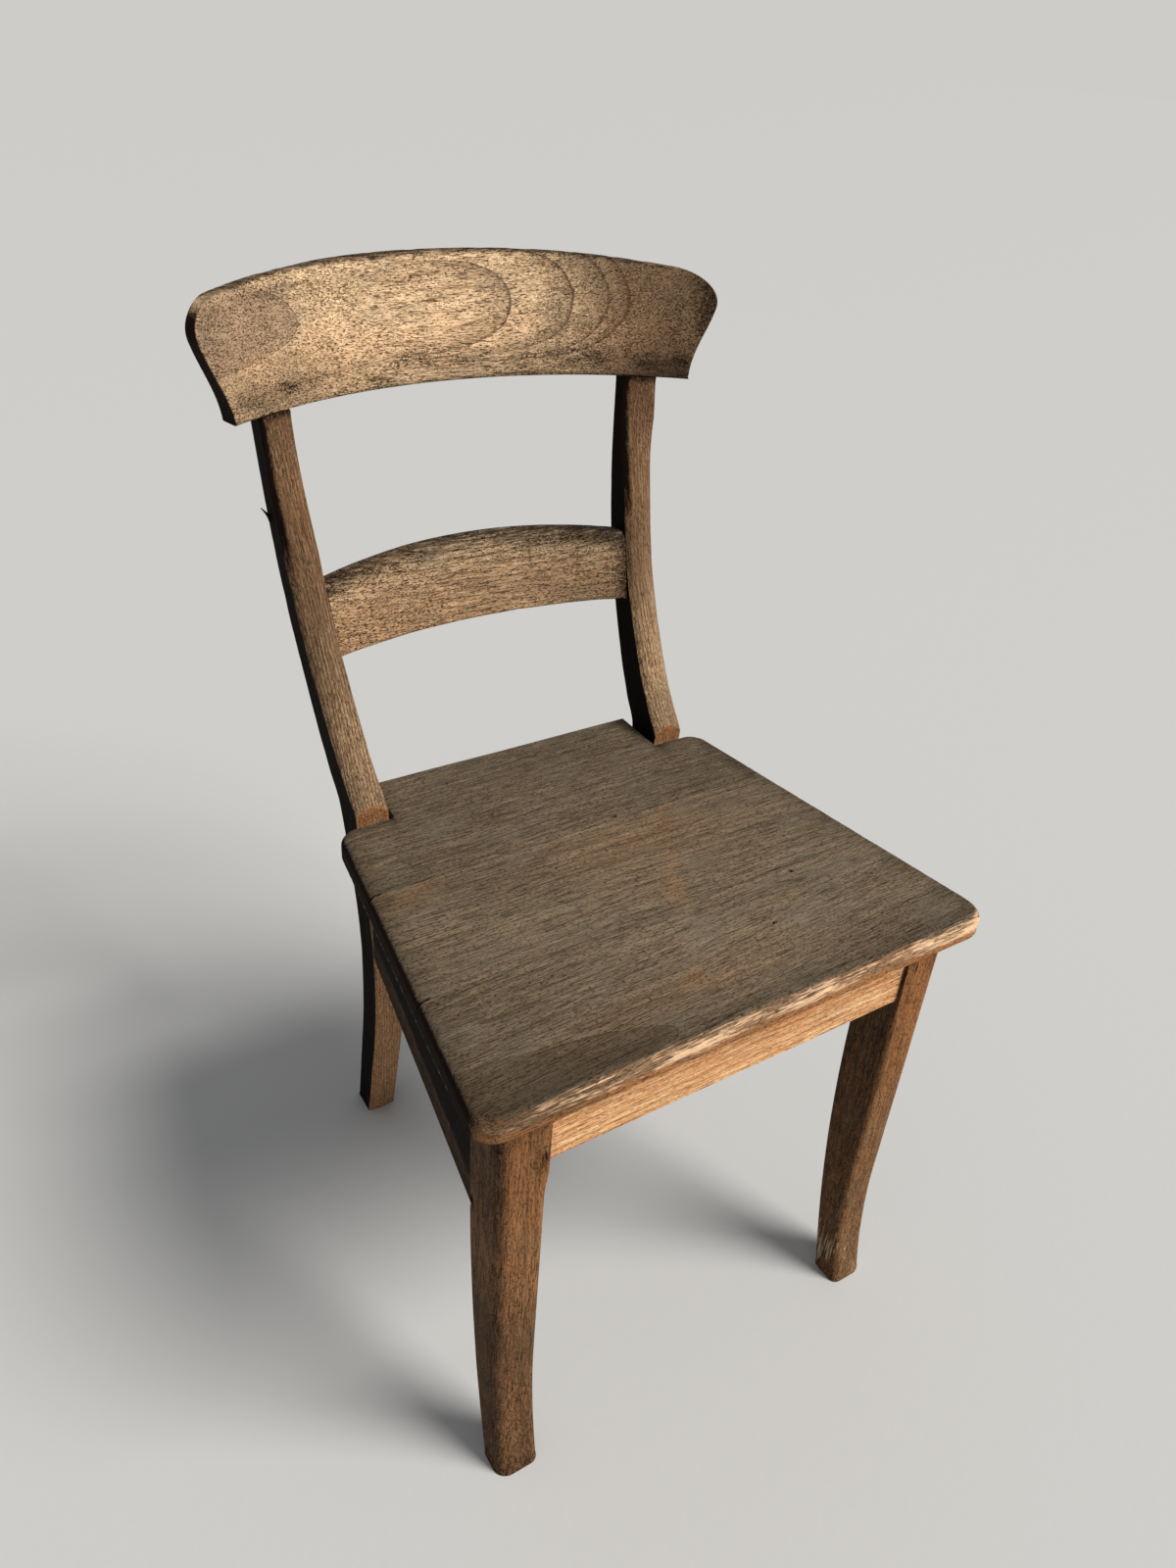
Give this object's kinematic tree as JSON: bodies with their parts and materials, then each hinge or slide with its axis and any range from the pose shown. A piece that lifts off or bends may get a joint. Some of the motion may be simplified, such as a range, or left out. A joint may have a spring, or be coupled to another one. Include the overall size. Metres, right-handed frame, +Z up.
{
  "type": "dining chair",
  "caption": "Weathered bare-wood dining chair: bowed crest rail, curved middle rail, rounded sabre posts, plank seat on deep aprons and square front legs.",
  "frame": {"origin": "on the floor, in the middle of the chair's bounding box", "axes": "+Z up; the chair faces -Y; +X is the right-hand side as it is seen from the front"},
  "size_m": [0.4743, 0.5475, 0.868],
  "materials": {
    "seat_wood": "bare hardwood gone grey-brown, worn pale on the nosing",
    "back_wood": "golden-brown bare hardwood with dark pores and near-black sides",
    "leg_wood": "brown bare hardwood, scuffed at the feet",
    "front_apron_wood": "fresher orange hardwood, kept out of the weather",
    "apron_wood": "dark, dirt-stained hardwood",
    "steel": "dull and lightly rusted"
  },
  "bodies": {
    "root": {"seat_board_front": "seat_wood", "seat_board_middle": "seat_wood", "seat_board_rear": "seat_wood", "crest_rail": "back_wood", "mid_rail": "back_wood", "back_post_left": "back_wood", "back_post_right": "back_wood", "front_leg_left": "leg_wood", "front_leg_right": "leg_wood", "front_apron": "front_apron_wood", "back_apron": "apron_wood", "side_apron_left": "apron_wood", "side_apron_right": "apron_wood", "corner_block_front_left": "apron_wood", "corner_block_front_right": "apron_wood", "corner_block_rear_left": "apron_wood", "corner_block_rear_right": "apron_wood", "corner_block_screws": "steel", "seat_screws": "steel", "front_apron_pins": "steel"}
  },
  "joints": []
}
